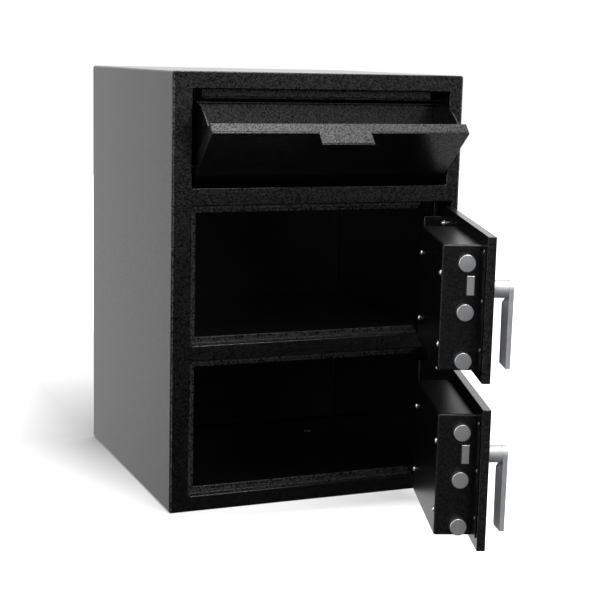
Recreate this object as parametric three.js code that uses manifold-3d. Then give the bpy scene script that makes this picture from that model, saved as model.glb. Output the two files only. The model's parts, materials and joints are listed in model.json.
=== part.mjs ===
// Drop safe with a tilting deposit hopper over two hinged doors.
// Millimetres, +X to the right, +Y to the back, +Z up, origin at the centre of the underside.
// At rest the hopper is tilted open and both doors stand open, hinged on the right.
import * as THREE from 'three';
import { mergeVertices } from 'three/addons/utils/BufferGeometryUtils.js';
import Module from 'manifold-3d';

const wasm = await Module();
wasm.setup();

// Body
const bodyWidth = 508;
const bodyDepth = 495;
const wallThickness = 3;
const frontThickness = 3;
const backThickness = 3;
const bodyCornerRadius = 5;
const frontEdgeRadius = 2;
const anchorHoleRadius = 7;
const anchorInset = 95;
const seam = 0.3;

// Front frame, from the bottom rail up to the top rail
const bottomRail = 26;
const doorOpeningHeight = 224;
const middleRail = 26;
const hopperRail = 29;
const hopperOpeningHeight = 154.5;
const topRail = 27.5;
const latchStile = 33;
const hingeStile = 12.5;
const hopperStile = 24;
const openingCornerRadius = 3;

// Door seats, folded behind the front frame
const seatGauge = 2.5;
const seatStep = 4.5;
const seatReach = 11.5;
const seatFlange = 10;
const seatBendRadius = 1.5;
const seatGap = 1;
const hingeClearance = 40;

// Doors
const doorThickness = 12.7;
const doorGap = 6;
const doorHingeGap = 9.5;
const doorEdgeRadius = 0.8;
const doorBevel = 3;
const upperDoorAngle = 70.5;
const lowerDoorAngle = 71;
const pinInset = 8;
const pinBehind = 10;

// Hinge pins, blocks and lugs
const pinRadius = 7.14;
const runningClearance = 0.3;
const blockWidth = 24;
const blockDepth = 32;
const blockHeight = 44;
const blockOutset = 2;
const blockTop = 86;
const blockCornerRadius = 3;
const lugThickness = 6;
const lugRise = 1;
const lugReach = 44;
const lugSide = 20;
const pinTail = 2;
const pinEmbed = 40;

// Boltwork, placed from the door's free edge, its inner face and its middle height
const coverGauge = 2;
const coverSetback = 43;
const coverLength = 224;
const coverDepth = 57;
const coverHeight = 185;
const coverDrop = 3.5;
const coverFoldRadius = 3;
const coverFlangeGap = 7;
const coverHingeFlange = 14;
const coverFlangeSetback = 8;
const boltRadius = 13;
const boltSpacing = 71.5;
const boltDrop = 8.5;
const boltDistance = 22;
const boltShow = 12;
const boltLength = 104;
const boltChamfer = 1.5;
const boltThrow = 40;
const boltHoleClearance = 0.5;
const flatBoltThickness = 13.5;
const flatBoltHeight = 28.6;
const flatBoltDistance = 15;
const flatBoltRise = 31;
const flatBoltHead = 30;
const flatBoltTail = 72;
const flatBoltTailHeight = 15;
const flatBoltPost = 20;
const flatBoltChamfer = 3;
const carriageThickness = 4;
const carriageLength = 150;
const carriageMargin = 10;
const lockCaseWidth = 58;
const lockCaseHeight = 84;
const lockCaseDepth = 27;
const lockCaseInset = 4;

// Handle
const handleSetback = 77;
const handleRise = 20;
const rosetteRadius = 27;
const rosetteThickness = 3;
const hubRadius = 13.5;
const leverThickness = 7.5;
const leverStandOff = 41;
const leverDrop = 118;
const leverTopWidth = 28;
const leverFootWidth = 22;
const leverEdgeRadius = 0.8;
const leverElbowRadius = 6;
const leverBackDepth = 6.5;
const leverBackInset = 0.4;
const spindleRadius = 6;
const crankThickness = 5;
const crankHubRadius = 11;
const crankArmRadius = 7;
const crankPinRadius = 4;
const crankPinPlay = 1.2;
const handleTurn = 90;

// Lock on the outer face of each door
const keypadToHandle = 165;
const keypadRise = 20;
const keypadRadius = 38;
const keypadDepth = 21;
const keypadFaceRadius = 30.5;
const keypadFaceDepth = 2.5;
const cableHoleRadius = 6;

// Deposit hopper
const hopperGap = 4;
const hopperTopGap = 3;
const hopperSideGap = 4.5;
const hopperThickness = 20;
const hopperSkin = 3;
const hopperGauge = 2;
const hopperAngle = 48.5;
const hopperPivotBack = 27;
const hopperPivotRise = 31;
const hopperPivotRadius = 4.5;
const sectorRadius = 104.5;
const sectorSpan = 60;
const sectorInset = 3;
const sectorHub = 15;
const sectorEarRadius = 112;
const sectorEarSpan = 5;
const rearPlateInner = 45;
const rearPlateLip = 10;
const tabWidth = 90;
const tabReach = 22;
const tabThickness = 2.5;
const tabLip = 4;
const stopPinRadius = 3;
const baffleBack = 26;
const baffleDrop = 14;
const baffleLip = 4;
const baffleInset = 23.5;
const baffleFlange = 18;
const hopperSideDepth = 150;
const chamberSideGap = 1;
const hopperFloorRise = 13;
const dropSlotFront = 76;
const dropSlotDepth = 124;
const dropSlotInset = 50;

// Shelf between the two compartments
const shelfThickness = 3;

const arcSteps = 4;

// Places worked out from the sizes above
const bodyHeight = bottomRail + doorOpeningHeight + middleRail + doorOpeningHeight
  + hopperRail + hopperOpeningHeight + topRail;
const front = -bodyDepth / 2;
const back = bodyDepth / 2;
const behindFront = front + frontThickness + seam;
const innerX = bodyWidth / 2 - wallThickness;
const openingLeft = -bodyWidth / 2 + latchStile;
const openingRight = bodyWidth / 2 - hingeStile;
const hopperRight = bodyWidth / 2 - hopperStile;
const lowerBottom = bottomRail;
const lowerTop = lowerBottom + doorOpeningHeight;
const upperBottom = lowerTop + middleRail;
const upperTop = upperBottom + doorOpeningHeight;
const hopperBottom = upperTop + hopperRail;
const hopperTop = hopperBottom + hopperOpeningHeight;
const seatDepth = doorThickness + seatGap;

const doorWidth = openingRight - openingLeft - doorGap - doorHingeGap;
const doorHeight = doorOpeningHeight - 2 * doorGap;
const pinX = openingRight - doorHingeGap - pinInset;
const pinY = front + doorThickness + pinBehind;
const innerFace = -pinBehind;
const outerFace = innerFace - doorThickness;
const along = (distance) => pinInset - distance;
const coverEnd = doorWidth - coverSetback;
const coverStart = coverEnd - coverLength;
const lockCaseStart = coverStart + lockCaseInset;
const handlePlace = doorWidth - handleSetback;
const keypadPlace = handlePlace - keypadToHandle;

const hopperMiddle = (openingLeft + hopperRight) / 2;
const hopperHalf = (hopperRight - openingLeft) / 2 - hopperSideGap;
const hopperPivotY = front + hopperPivotBack;
const hopperPivotZ = hopperBottom + hopperPivotRise;

// Materials
const material = (color, roughness, metalness) =>
  new THREE.MeshStandardMaterial({ color, roughness, metalness });
const blackPaint = material(0x17181a, 0.45, 0.1);
const innerPaint = material(0x111213, 0.55, 0.1);
const brightSteel = material(0xb9bcc0, 0.3, 0.9);
const satinSteel = material(0xa3a6aa, 0.38, 0.9);
const zincSteel = material(0x8b8e90, 0.5, 0.8);
const darkPlastic = material(0x1d1e20, 0.6, 0);
const greyRubber = material(0x3a3c3f, 0.75, 0);

// Solids
function solid(geometry) {
  const bare = geometry.clone();
  bare.deleteAttribute('normal');
  bare.deleteAttribute('uv');
  const merged = mergeVertices(bare, 1e-4);
  const mesh = new wasm.Mesh({
    numProp: 3,
    vertProperties: new Float32Array(merged.attributes.position.array),
    triVerts: new Uint32Array(merged.index.array),
  });
  return new wasm.Manifold(mesh);
}

function geometryOf(body) {
  const mesh = body.getMesh();
  const geometry = new THREE.BufferGeometry();
  const positions = new Float32Array(mesh.numVert * 3);
  for (let vertex = 0; vertex < mesh.numVert; vertex += 1) {
    for (let axis = 0; axis < 3; axis += 1) {
      positions[3 * vertex + axis] = mesh.vertProperties[mesh.numProp * vertex + axis];
    }
  }
  geometry.setAttribute('position', new THREE.BufferAttribute(positions, 3));
  geometry.setIndex(new THREE.BufferAttribute(new Uint32Array(mesh.triVerts), 1));
  geometry.computeVertexNormals();
  return geometry;
}

function piece(name, shape, finish) {
  const geometry = shape.isBufferGeometry ? shape : geometryOf(shape);
  const mesh = new THREE.Mesh(geometry, finish);
  mesh.name = name;
  return mesh;
}

function box(x0, x1, y0, y1, z0, z1) {
  const geometry = new THREE.BoxGeometry(x1 - x0, y1 - y0, z1 - z0);
  geometry.translate((x0 + x1) / 2, (y0 + y1) / 2, (z0 + z1) / 2);
  return solid(geometry);
}

// A cylinder along one axis ('x', 'y' or 'z'), from start to end along it
function rod(axis, radius, start, end, across, up, sides = 24) {
  const geometry = new THREE.CylinderGeometry(radius, radius, end - start, sides);
  const middle = (start + end) / 2;
  if (axis === 'x') {
    geometry.rotateZ(Math.PI / 2);
    geometry.translate(middle, across, up);
  } else if (axis === 'y') {
    geometry.translate(across, middle, up);
  } else {
    geometry.rotateX(Math.PI / 2);
    geometry.translate(across, up, middle);
  }
  return solid(geometry);
}

// Outlines
function roundedRectangle(x0, x1, z0, z1, radius, path = new THREE.Shape()) {
  path.moveTo(x0 + radius, z0);
  path.lineTo(x1 - radius, z0);
  path.absarc(x1 - radius, z0 + radius, radius, -Math.PI / 2, 0);
  path.lineTo(x1, z1 - radius);
  path.absarc(x1 - radius, z1 - radius, radius, 0, Math.PI / 2);
  path.lineTo(x0 + radius, z1);
  path.absarc(x0 + radius, z1 - radius, radius, Math.PI / 2, Math.PI);
  path.lineTo(x0, z0 + radius);
  path.absarc(x0 + radius, z0 + radius, radius, Math.PI, 1.5 * Math.PI);
  path.closePath();
  return path;
}

// Extrudes an outline drawn in X and Z from y0 to y1, with its edges rounded at both faces
function slab(shape, y0, y1, edgeRadius = 0, steps = 3) {
  const geometry = new THREE.ExtrudeGeometry(shape, {
    depth: y1 - y0 - 2 * edgeRadius,
    bevelEnabled: edgeRadius > 0,
    bevelThickness: edgeRadius,
    bevelSize: edgeRadius,
    bevelOffset: -edgeRadius,
    bevelSegments: steps,
    curveSegments: arcSteps,
  });
  geometry.rotateX(Math.PI / 2);
  geometry.translate(0, y1 - edgeRadius, 0);
  return solid(geometry);
}

// Extrudes an outline drawn in Y and Z along X, from x0 to x1
function profileAlongX(shape, x0, x1) {
  const geometry = new THREE.ExtrudeGeometry(shape, {
    depth: x1 - x0, bevelEnabled: false, curveSegments: arcSteps,
  });
  geometry.rotateX(Math.PI / 2);
  geometry.rotateZ(Math.PI / 2);
  geometry.translate(x0, 0, 0);
  return solid(geometry);
}

// Rounds the marked corners of a closed outline of [u, v, radius] points
function rounded(points) {
  const result = [];
  points.forEach(([u, v, radius], index) => {
    if (!radius) {
      result.push(new THREE.Vector2(u, v));
      return;
    }
    const corner = new THREE.Vector2(u, v);
    const before = points[(index + points.length - 1) % points.length];
    const after = points[(index + 1) % points.length];
    const inward = new THREE.Vector2(before[0] - u, before[1] - v).normalize();
    const outward = new THREE.Vector2(after[0] - u, after[1] - v).normalize();
    const start = corner.clone().addScaledVector(inward, radius);
    const end = corner.clone().addScaledVector(outward, radius);
    const curve = new THREE.QuadraticBezierCurve(start, corner, end);
    result.push(...curve.getPoints(arcSteps - 1));
  });
  return result;
}

// Body shell, back panel, shelf and front frame
function makeBodyWrap() {
  const halfWidth = bodyWidth / 2;
  const outline = roundedRectangle(-halfWidth, halfWidth, 0, bodyHeight, bodyCornerRadius);
  outline.holes.push(roundedRectangle(-innerX, innerX, wallThickness, bodyHeight - wallThickness,
    bodyCornerRadius - wallThickness, new THREE.Path()));
  let shell = slab(outline, behindFront, back);
  for (const x of [-innerX + anchorInset, innerX - anchorInset]) {
    for (const y of [front + anchorInset, back - anchorInset]) {
      shell = shell.subtract(rod('z', anchorHoleRadius, -1, wallThickness + 1, x, y, 20));
    }
  }
  return shell;
}

function makeBackPanel() {
  const x = innerX - seam;
  const radius = bodyCornerRadius - wallThickness;
  const outline = roundedRectangle(-x, x, wallThickness + seam, bodyHeight - wallThickness - seam, radius);
  return slab(outline, back - backThickness, back);
}

function makeFrontFrame() {
  const halfWidth = bodyWidth / 2;
  const outline = roundedRectangle(-halfWidth, halfWidth, 0, bodyHeight, bodyCornerRadius);
  for (const [right, bottom, top] of [
    [openingRight, lowerBottom, lowerTop],
    [openingRight, upperBottom, upperTop],
    [hopperRight, hopperBottom, hopperTop],
  ]) {
    const hole = new THREE.Path();
    outline.holes.push(roundedRectangle(openingLeft, right, bottom, top, openingCornerRadius, hole));
  }
  const thick = slab(outline, front, front + frontThickness + 2 * frontEdgeRadius, frontEdgeRadius);
  return thick.intersect(box(-halfWidth, halfWidth, front - 1, front + frontThickness, -1, bodyHeight + 1));
}

function makeShelf() {
  const middle = (lowerTop + upperBottom) / 2;
  return box(-innerX + seam, innerX - seam, behindFront, back - backThickness - seam,
    middle - shelfThickness / 2, middle + shelfThickness / 2);
}

// A folded seat runs round the top, latch side and bottom of a door opening. Its section is
// drawn as distance inward from the opening's edge and depth behind the front plane.
function makeDoorSeat(bottom, top) {
  const start = frontThickness + seam;
  const inside = seatStep - seatGauge;
  const section = rounded([
    [-seatFlange, start, 0],
    [seatStep, start, seatBendRadius],
    [seatStep, seatDepth, 0],
    [seatReach, seatDepth, seatBendRadius],
    [seatReach, seatDepth + seatGauge, 0],
    [inside, seatDepth + seatGauge, seatBendRadius],
    [inside, start + seatGauge, 0],
    [-seatFlange, start + seatGauge, 0],
  ]);
  const end = pinX - hingeClearance;
  const stations = [
    (inward) => [end, top - inward],
    (inward) => [openingLeft + inward, top - inward],
    (inward) => [openingLeft + inward, bottom + inward],
    (inward) => [end, bottom + inward],
  ];
  const positions = [];
  for (const station of stations) {
    for (const point of section) {
      const [x, z] = station(point.x);
      positions.push(x, front + point.y, z);
    }
  }
  const count = section.length;
  const indices = [];
  for (let row = 0; row < stations.length - 1; row += 1) {
    for (let column = 0; column < count; column += 1) {
      const a = row * count + column;
      const b = row * count + ((column + 1) % count);
      indices.push(a, a + count, b, b, a + count, b + count);
    }
  }
  const cap = THREE.ShapeUtils.triangulateShape(section, []);
  const last = (stations.length - 1) * count;
  for (const [a, b, c] of cap) {
    indices.push(a, b, c, last + c, last + b, last + a);
  }
  const geometry = new THREE.BufferGeometry();
  geometry.setAttribute('position', new THREE.Float32BufferAttribute(positions, 3));
  geometry.setIndex(indices);
  return solid(geometry);
}

// Hinge lugs hold the pins, welded to the side wall and the back of the front frame
function makeHingeLug(level) {
  const lug = box(pinX - lugSide, innerX - seam, behindFront, front + lugReach, level, level + lugThickness);
  return lug.subtract(rod('z', pinRadius + seam, level - 1, level + lugThickness + 1, pinX, pinY));
}

// Threaded hinge pin from its lug into the door's block
function makeHingePin(middle, side) {
  const lugFar = doorOpeningHeight / 2 + lugRise + lugThickness + pinTail;
  const blockNear = blockTop - pinEmbed;
  const ends = [middle + side * blockNear, middle + side * lugFar].sort((a, b) => a - b);
  const chamfer = 1;
  const length = ends[1] - ends[0];
  const outline = [
    new THREE.Vector2(0, 0),
    new THREE.Vector2(pinRadius - chamfer, 0),
    new THREE.Vector2(pinRadius, chamfer),
    new THREE.Vector2(pinRadius, length - chamfer),
    new THREE.Vector2(pinRadius - chamfer, length),
    new THREE.Vector2(0, length),
  ];
  const geometry = new THREE.LatheGeometry(outline, 24);
  geometry.rotateX(Math.PI / 2);
  geometry.translate(pinX, pinY, ends[0]);
  return solid(geometry);
}

// Door pieces are drawn closed, with the hinge pin's axis as origin
function makeDoorPlate() {
  const outline = roundedRectangle(along(doorWidth), along(0), -doorHeight / 2, doorHeight / 2, 1.5);
  let plate = slab(outline, outerFace, innerFace, doorEdgeRadius, 2);
  const bevel = new THREE.Shape([
    new THREE.Vector2(along(doorBevel), outerFace - 1),
    new THREE.Vector2(along(0) + 1, outerFace - 1),
    new THREE.Vector2(along(0) + 1, outerFace + doorBevel + 1),
    new THREE.Vector2(along(0), outerFace + doorBevel),
    new THREE.Vector2(along(doorBevel), outerFace),
  ]);
  const wedge = new THREE.ExtrudeGeometry(bevel, { depth: doorHeight + 2, bevelEnabled: false });
  wedge.translate(0, 0, -doorHeight / 2 - 1);
  plate = plate.subtract(solid(wedge));
  plate = plate.subtract(rod('y', spindleRadius + runningClearance, outerFace - 1, innerFace + 1,
    along(handlePlace), handleRise));
  return plate.subtract(rod('y', cableHoleRadius, outerFace - 1, innerFace + 1,
    along(keypadPlace), keypadRise, 16));
}

function makeHingeBlock(side) {
  const outer = along(-blockOutset);
  const inner = outer - blockWidth;
  const low = side > 0 ? blockTop - blockHeight : -blockTop;
  const high = low + blockHeight;
  const outline = new THREE.Shape(rounded([
    [inner, innerFace + seam, 0],
    [outer, innerFace + seam, 0],
    [outer, innerFace + seam + blockDepth, blockCornerRadius],
    [inner, innerFace + seam + blockDepth, blockCornerRadius],
  ]));
  const geometry = new THREE.ExtrudeGeometry(outline, { depth: high - low, bevelEnabled: false });
  geometry.translate(0, 0, low);
  return solid(geometry).subtract(rod('z', pinRadius + runningClearance, low - 1, high + 1, 0, 0));
}

// The cover is folded from sheet: five walls with rounded folds, a screwed flange at each end
function makeBoltworkCover() {
  const base = innerFace + seam;
  const top = innerFace + coverDepth;
  const low = -coverDrop - coverHeight / 2;
  const high = low + coverHeight;
  const freeX = along(coverEnd);
  const hingeX = along(coverStart);
  const shell = (inset, y0) => {
    const radius = coverFoldRadius - inset / 2;
    const outline = roundedRectangle(freeX + inset, hingeX - inset, low + inset, high - inset, radius + 0.5);
    const thick = slab(outline, y0 - 2 * radius, top - inset, radius, 3);
    return thick.intersect(box(freeX - 1, hingeX + 1, y0, top, low - 1, high + 1));
  };
  const flangeLow = low + coverFlangeSetback;
  const flangeHigh = high - coverFlangeSetback;
  const freeFlange = box(along(doorWidth - coverFlangeGap), freeX + coverGauge,
    base, base + coverGauge, flangeLow, flangeHigh);
  const hingeFlange = box(hingeX - coverGauge, hingeX + coverHingeFlange,
    base, base + coverGauge, flangeLow, flangeHigh);
  let cover = shell(0, base).add(freeFlange).add(hingeFlange);
  cover = cover.subtract(shell(coverGauge, base - 1));
  for (const rise of boltRises()) {
    cover = cover.subtract(rod('x', boltRadius + boltHoleClearance, freeX - 1, freeX + coverGauge + 2,
      innerFace + boltDistance, rise));
  }
  const slotHalfDepth = flatBoltThickness / 2 + boltHoleClearance;
  const slotHalfHeight = flatBoltHeight / 2 + boltHoleClearance;
  const slotY = innerFace + flatBoltDistance;
  return cover.subtract(box(freeX - 1, freeX + coverGauge + 2, slotY - slotHalfDepth, slotY + slotHalfDepth,
    flatBoltRise - slotHalfHeight, flatBoltRise + slotHalfHeight));
}

function boltRises() {
  return [boltSpacing - boltDrop, -boltDrop, -boltSpacing - boltDrop];
}

function makeBolt(rise) {
  const outline = [
    new THREE.Vector2(0, 0),
    new THREE.Vector2(boltRadius - boltChamfer, 0),
    new THREE.Vector2(boltRadius, boltChamfer),
    new THREE.Vector2(boltRadius, boltLength),
    new THREE.Vector2(0, boltLength),
  ];
  const geometry = new THREE.LatheGeometry(outline, 32);
  geometry.rotateZ(-Math.PI / 2);
  geometry.translate(along(coverEnd + boltShow), innerFace + boltDistance, rise);
  return solid(geometry);
}

// Flat bolt: a deep head in the cover's slot, a tail above the spindle, and a post to the carriage
function makeFlatBolt() {
  const tip = along(coverEnd + boltShow);
  const y0 = innerFace + flatBoltDistance - flatBoltThickness / 2;
  const y1 = y0 + flatBoltThickness;
  const top = flatBoltRise + flatBoltHeight / 2;
  const tailEnd = tip + flatBoltHead + flatBoltTail;
  const corner = new THREE.ExtrudeGeometry(new THREE.Shape([
    new THREE.Vector2(tip - 1, y0 - 1),
    new THREE.Vector2(tip + flatBoltChamfer + 1, y0 - 1),
    new THREE.Vector2(tip - 1, y0 + flatBoltChamfer + 1),
  ]), { depth: flatBoltHeight + 2, bevelEnabled: false });
  corner.translate(0, 0, top - flatBoltHeight - 1);
  const head = slab(roundedRectangle(tip, tip + flatBoltHead, top - flatBoltHeight, top, 1), y0, y1, 0.6, 2)
    .subtract(solid(corner));
  const tail = box(tip + flatBoltHead / 2, tailEnd, y0 + 1, y1 - 1, top - flatBoltTailHeight, top - 1);
  const post = box(tailEnd - flatBoltPost, tailEnd, y0 + 1, carriageFace() - seam,
    top - flatBoltTailHeight, top - 1);
  return head.add(tail).add(post);
}

function carriageFace() {
  return innerFace + boltDistance + boltRadius + seam;
}

// The carriage plate carries the bolts. Its open notch passes the spindle and its upright slot
// takes the crank's pin.
function makeCarriage() {
  const freeX = along(coverEnd) + coverGauge + boltThrow + seatGap;
  const low = boltRises()[2] - boltRadius + carriageMargin / 2;
  const high = boltRises()[0] + boltRadius;
  const y0 = carriageFace();
  const y1 = y0 + carriageThickness;
  const outline = roundedRectangle(freeX, freeX + carriageLength, low, high, 6);
  let plate = slab(outline, y0, y1);
  const notchHalf = spindleRadius + seatGap;
  const notchEnd = along(handlePlace) + boltThrow + notchHalf;
  plate = plate.subtract(box(freeX - 1, notchEnd - notchHalf, y0 - 1, y1 + 1,
    handleRise - notchHalf, handleRise + notchHalf));
  plate = plate.subtract(rod('y', notchHalf, y0 - 1, y1 + 1, notchEnd - notchHalf, handleRise));
  const reach = crankReach();
  const slotX = along(handlePlace) + boltThrow / 2;
  const slotHalf = crankPinRadius + crankPinPlay;
  const slotLow = handleRise + boltThrow / 2;
  const slotHigh = handleRise + reach;
  plate = plate.subtract(box(slotX - slotHalf, slotX + slotHalf, y0 - 1, y1 + 1, slotLow, slotHigh));
  for (const end of [slotLow, slotHigh]) {
    plate = plate.subtract(rod('y', slotHalf, y0 - 1, y1 + 1, slotX, end));
  }
  return plate;
}

// The crank's pin starts and ends 45 degrees either side of upright, so its reach sets the throw
function crankReach() {
  return boltThrow / 2 / Math.sin(THREE.MathUtils.degToRad(handleTurn / 2));
}

function makeLockCase() {
  const x1 = along(lockCaseStart);
  const outline = roundedRectangle(x1 - lockCaseWidth, x1, -lockCaseHeight / 2, lockCaseHeight / 2, 4);
  return slab(outline, innerFace + seam, innerFace + seam + lockCaseDepth, 1, 2);
}

// Keypad housing: a shallow turned drum with a raised rim, and a rubber key mat let into it
function makeKeypadHousing() {
  const rim = keypadRadius - keypadFaceRadius;
  const outline = [
    new THREE.Vector2(0, 0),
    new THREE.Vector2(keypadRadius, 0),
    new THREE.Vector2(keypadRadius, keypadDepth * 0.55),
    new THREE.Vector2(keypadRadius - rim * 0.3, keypadDepth - 1.5),
    new THREE.Vector2(keypadRadius - rim * 0.6, keypadDepth),
    new THREE.Vector2(keypadFaceRadius + 0.5, keypadDepth),
    new THREE.Vector2(keypadFaceRadius + 0.5, keypadDepth - keypadFaceDepth - 1),
    new THREE.Vector2(0, keypadDepth - keypadFaceDepth - 1),
  ];
  const geometry = new THREE.LatheGeometry(outline, 40);
  geometry.rotateX(Math.PI);
  geometry.translate(along(keypadPlace), outerFace - seam, keypadRise);
  return solid(geometry);
}

function makeKeypadFace() {
  const outline = [
    new THREE.Vector2(0, 0),
    new THREE.Vector2(keypadFaceRadius, 0),
    new THREE.Vector2(keypadFaceRadius, keypadFaceDepth - 0.7),
    new THREE.Vector2(keypadFaceRadius - 0.7, keypadFaceDepth),
    new THREE.Vector2(0, keypadFaceDepth),
  ];
  const geometry = new THREE.LatheGeometry(outline, 36);
  geometry.rotateX(Math.PI);
  const mat = outerFace - keypadDepth + keypadFaceDepth + 1 - 2 * seam;
  geometry.translate(along(keypadPlace), mat, keypadRise);
  return solid(geometry);
}

function makeRosette() {
  const outline = [
    new THREE.Vector2(spindleRadius + 1, 0),
    new THREE.Vector2(rosetteRadius, 0),
    new THREE.Vector2(rosetteRadius, rosetteThickness - 1),
    new THREE.Vector2(rosetteRadius - 1, rosetteThickness),
    new THREE.Vector2(spindleRadius + 1, rosetteThickness),
    new THREE.Vector2(spindleRadius + 1, 0),
  ];
  const geometry = new THREE.LatheGeometry(outline, 40);
  geometry.rotateX(Math.PI);
  geometry.translate(along(handlePlace), outerFace - seam, handleRise);
  return solid(geometry);
}

const hubStart = outerFace - 2 * seam - rosetteThickness;
const leverFace = outerFace - leverStandOff;
const leverBack = leverFace + leverThickness;

// Handle, one casting: a hub on the spindle, and a flat lever that is round at the hub, with a
// rounded elbow, slightly tapered and square at the foot. The back of its leg is drawn in.
function makeHandleLever() {
  const x = along(handlePlace);
  const half = leverTopWidth / 2;
  const foot = leverFootWidth / 2;
  const low = handleRise - leverDrop;
  const outline = new THREE.Shape();
  outline.moveTo(x - foot, low);
  outline.lineTo(x + foot, low);
  outline.lineTo(x + half, handleRise);
  outline.absarc(x, handleRise, half, 0, Math.PI);
  outline.closePath();
  const geometry = new THREE.ExtrudeGeometry(outline, {
    depth: leverThickness,
    bevelThickness: leverEdgeRadius,
    bevelSize: leverEdgeRadius,
    bevelOffset: -leverEdgeRadius,
    bevelSegments: 3,
    curveSegments: 20,
  });
  geometry.rotateX(Math.PI / 2);
  geometry.translate(0, leverBack + leverEdgeRadius, 0);
  const elbow = new THREE.Shape(rounded([
    [leverBack, low - 1, 0],
    [leverBack, handleRise + half + 1, 0],
    [leverFace, handleRise + half + 1, 0],
    [leverFace, handleRise + half, leverElbowRadius],
    [leverFace, low - 1, 0],
  ]));
  const plate = solid(geometry).intersect(profileAlongX(elbow, x - half - 1, x + half + 1));
  const legTop = handleRise - hubRadius - 1;
  const taper = (half - foot) / leverDrop;
  const legHalf = foot + taper * (legTop - low) - leverBackInset;
  const footHalf = foot - leverBackInset;
  const leg = slab(new THREE.Shape([
    new THREE.Vector2(x - footHalf, low + leverBackInset),
    new THREE.Vector2(x + footHalf, low + leverBackInset),
    new THREE.Vector2(x + legHalf, legTop),
    new THREE.Vector2(x - legHalf, legTop),
  ]), leverBack - leverThickness + leverEdgeRadius, leverBack + leverBackDepth, leverBackDepth, 1);
  const hub = rod('y', hubRadius, leverBack - 1, hubStart, x, handleRise, 36);
  const bore = rod('y', spindleRadius + seam, leverBack, hubStart + 1, x, handleRise);
  return plate.add(leg).add(hub).subtract(bore);
}

// Spindle through the door with the crank on its inner end
function makeSpindleCrank() {
  const x = along(handlePlace);
  const y0 = carriageFace() + carriageThickness + seatGap;
  const y1 = y0 + crankThickness;
  const reach = crankReach();
  const angle = Math.PI / 2 - THREE.MathUtils.degToRad(handleTurn / 2);
  const pinAtX = x + reach * Math.cos(angle);
  const pinAtZ = handleRise + reach * Math.sin(angle);
  const arm = new THREE.Shape();
  arm.absarc(0, 0, crankHubRadius, Math.PI / 2, 1.5 * Math.PI);
  arm.lineTo(reach, -crankArmRadius);
  arm.absarc(reach, 0, crankArmRadius, -Math.PI / 2, Math.PI / 2);
  arm.closePath();
  const plate = new THREE.ExtrudeGeometry(arm, {
    depth: crankThickness, bevelEnabled: false, curveSegments: 10,
  });
  plate.rotateZ(angle);
  plate.rotateX(Math.PI / 2);
  plate.translate(x, y1, handleRise);
  const spindle = rod('y', spindleRadius, leverBack + seam, y1 - 1, x, handleRise);
  const pin = rod('y', crankPinRadius, carriageFace() + 0.5, y1 - 1, pinAtX, pinAtZ, 16);
  return spindle.add(solid(plate)).add(pin);
}

// Hopper pieces are drawn closed, with the pivot's axis as origin
const hopperLow = hopperGap - hopperPivotRise;
const hopperHigh = hopperOpeningHeight - hopperTopGap - hopperPivotRise;
const hopperOuter = -hopperPivotBack;
const hopperInner = hopperOuter + hopperThickness;

function makeHopperSkin() {
  const outline = roundedRectangle(-hopperHalf, hopperHalf, hopperLow, hopperHigh, 2);
  const skin = slab(outline, hopperOuter, hopperOuter + hopperSkin, 0.8, 2);
  const notchHalf = tabWidth / 2 + seam;
  return skin.subtract(box(-notchHalf, notchHalf, hopperOuter - 1, hopperOuter + hopperSkin + 1,
    hopperHigh - tabThickness - seam, hopperHigh + 1));
}

// Pan behind the skin, its top flange drawn out over the skin as the finger tab
function makeHopperPan() {
  const y0 = hopperOuter + hopperSkin + seam;
  const outline = roundedRectangle(-hopperHalf, hopperHalf, hopperLow, hopperHigh, 2);
  const radius = 1;
  const thick = slab(outline, y0 - 2 * radius, hopperInner, radius, 2);
  let pan = thick.intersect(box(-hopperHalf - 1, hopperHalf + 1, y0, hopperInner + 1,
    hopperLow - 1, hopperHigh + 1));
  pan = pan.subtract(box(-hopperHalf + hopperGauge, hopperHalf - hopperGauge,
    y0 - 1, hopperInner - hopperGauge, hopperLow + hopperGauge, hopperHigh - tabThickness));
  const half = tabWidth / 2;
  const tabEnd = hopperOuter - tabReach;
  const tab = new THREE.Shape(rounded([
    [y0 + 1, hopperHigh - tabThickness, 0],
    [y0 + 1, hopperHigh, 0],
    [tabEnd, hopperHigh, 1.5],
    [tabEnd, hopperHigh - tabLip, 0],
    [tabEnd + tabThickness, hopperHigh - tabLip, 0],
    [tabEnd + tabThickness, hopperHigh - tabThickness, 0],
  ]));
  return pan.add(profileAlongX(tab, -half, half));
}

// Side plate of the hopper: a sector about the pivot with an ear that meets the stop pin
function makeHopperSector(side) {
  const y0 = hopperInner + seam;
  const startAngle = Math.acos(y0 / sectorRadius);
  const span = THREE.MathUtils.degToRad(sectorSpan);
  const ear = THREE.MathUtils.degToRad(sectorEarSpan);
  const endAngle = Math.PI / 2 - span;
  const shape = new THREE.Shape();
  shape.moveTo(y0, -sectorHub);
  shape.absarc(0, 0, sectorHub, -Math.PI / 2, endAngle, false);
  shape.lineTo(sectorEarRadius * Math.cos(endAngle), sectorEarRadius * Math.sin(endAngle));
  shape.absarc(0, 0, sectorEarRadius, endAngle, endAngle + ear, false);
  shape.absarc(0, 0, sectorRadius, endAngle + ear, startAngle, false);
  shape.closePath();
  const outer = side * (hopperHalf - sectorInset);
  const inner = outer - side * hopperGauge;
  const geometry = new THREE.ExtrudeGeometry(shape, {
    depth: hopperGauge, bevelEnabled: false, curveSegments: 16,
  });
  geometry.rotateX(Math.PI / 2);
  geometry.rotateZ(Math.PI / 2);
  geometry.translate(Math.min(outer, inner), 0, 0);
  return solid(geometry).subtract(rod('x', hopperPivotRadius + seam, Math.min(outer, inner) - 1,
    Math.max(outer, inner) + 1, 0, 0, 20));
}

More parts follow.
